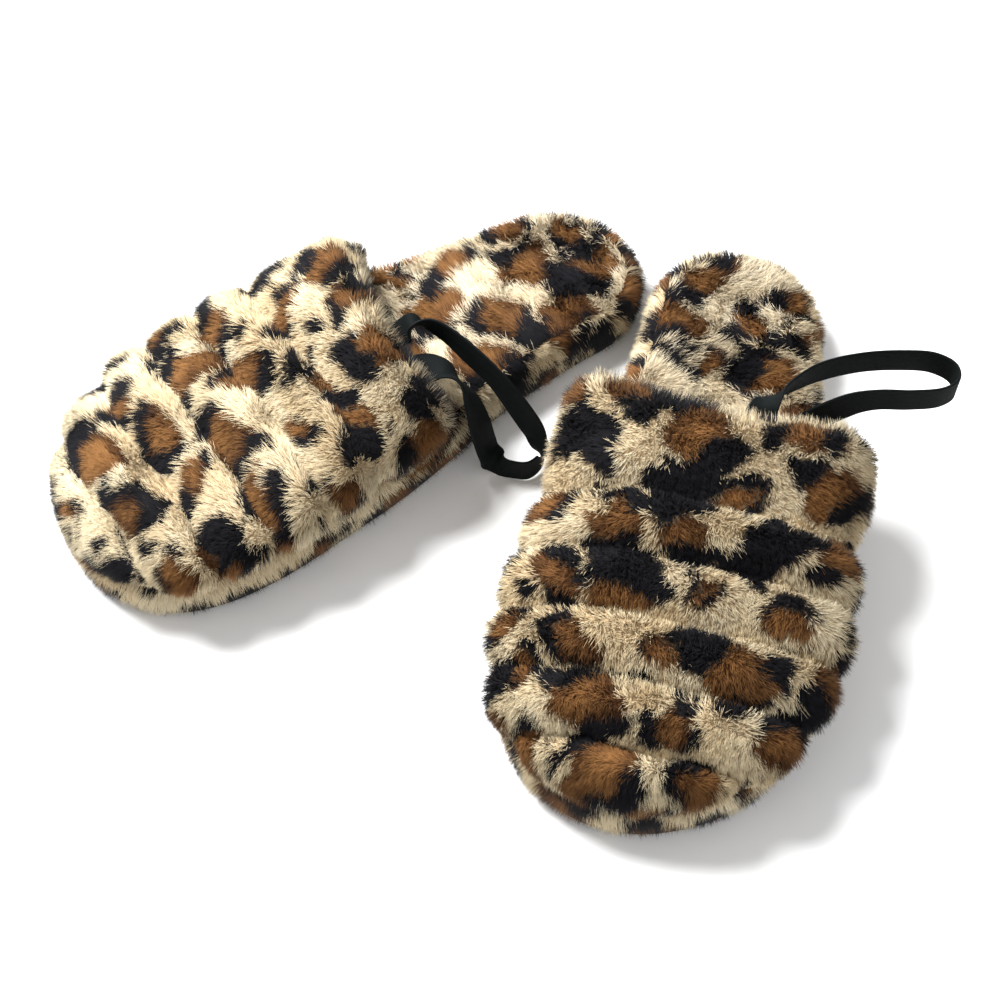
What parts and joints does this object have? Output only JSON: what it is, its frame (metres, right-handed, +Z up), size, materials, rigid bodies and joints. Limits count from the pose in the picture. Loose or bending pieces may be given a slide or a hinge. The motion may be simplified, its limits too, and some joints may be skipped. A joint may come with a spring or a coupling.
{
  "type": "pair of plush spa slippers",
  "caption": "Pair of closed-toe, open-back plush slippers with quilted padded uppers, cushioned soles that flex, and an elastic loop sewn inside each mouth.",
  "frame": {"origin": "centre of the pair's bounding box, on the ground under the outsoles", "axes": "+Z up from the ground; toes point towards -Y, the left foot's slipper nearly along it and the right foot's turned outwards towards -X"},
  "size_m": [0.3322, 0.2722, 0.061],
  "materials": {
    "plush": "leopard-spotted long-pile plush",
    "footbed_plush": "leopard-spotted long-pile plush, trodden",
    "outsole_rubber": "matt, finely textured",
    "foam": "open foam",
    "wadding": "fibre wadding",
    "lining": "short-pile fleece",
    "elastic": "woven elastic, slight sheen"
  },
  "bodies": {
    "left_forefoot": {"left_outsole_front": "outsole_rubber", "left_midsole_front": "foam", "left_insole_pad_front": "foam", "left_footbed_front": "footbed_plush", "left_side_band_front": "plush", "left_upper_shell": "plush", "left_upper_padding": "wadding", "left_upper_lining": "lining", "left_mouth_hem": "plush", "left_loop_end_middle": "elastic", "left_loop_end_side": "elastic"},
    "left_heel": {"left_outsole_heel": "outsole_rubber", "left_midsole_heel": "foam", "left_insole_pad_heel": "foam", "left_footbed_heel": "footbed_plush", "left_side_band_heel": "plush"},
    "left_loop": {"left_elastic_loop": "elastic"},
    "right_forefoot": {"right_outsole_front": "outsole_rubber", "right_midsole_front": "foam", "right_insole_pad_front": "foam", "right_footbed_front": "footbed_plush", "right_side_band_front": "plush", "right_upper_shell": "plush", "right_upper_padding": "wadding", "right_upper_lining": "lining", "right_mouth_hem": "plush", "right_loop_end_middle": "elastic", "right_loop_end_side": "elastic"},
    "right_heel": {"right_outsole_heel": "outsole_rubber", "right_midsole_heel": "foam", "right_insole_pad_heel": "foam", "right_footbed_heel": "footbed_plush", "right_side_band_heel": "plush"},
    "right_loop": {"right_elastic_loop": "elastic"}
  },
  "joints": [
    {"name": "left_sole_flex", "type": "hinge", "parent": "left_forefoot", "child": "left_heel", "pos_m": [0.0846, 0.03016, 0.0223], "axis": [0.9833, -0.1822, 0], "range_deg": [0, 40], "stiffness_Nm_per_rad": 0.5},
    {"name": "left_loop_swing", "type": "hinge", "parent": "left_forefoot", "child": "left_loop", "pos_m": [0.10154, 0.00744, 0.04179], "axis": [0.976, 0.002, -0.2177], "range_deg": [-30, 20], "stiffness_Nm_per_rad": 0.02},
    {"name": "right_sole_flex", "type": "hinge", "parent": "right_forefoot", "child": "right_heel", "pos_m": [-0.02366, 0.07236, 0.0223], "axis": [0.6088, -0.7934, 0], "range_deg": [0, 40], "stiffness_Nm_per_rad": 0.5},
    {"name": "right_loop_swing", "type": "hinge", "parent": "right_forefoot", "child": "right_loop", "pos_m": [-0.03454, 0.03764, 0.04188], "axis": [0.5529, -0.8091, -0.1988], "range_deg": [0, 20], "stiffness_Nm_per_rad": 0.02},
    {"name": "pair_lift", "type": "slide", "parent": "left_forefoot", "child": "right_forefoot", "axis": [0, 0, 1], "range_m": [0, 0.25]}
  ]
}
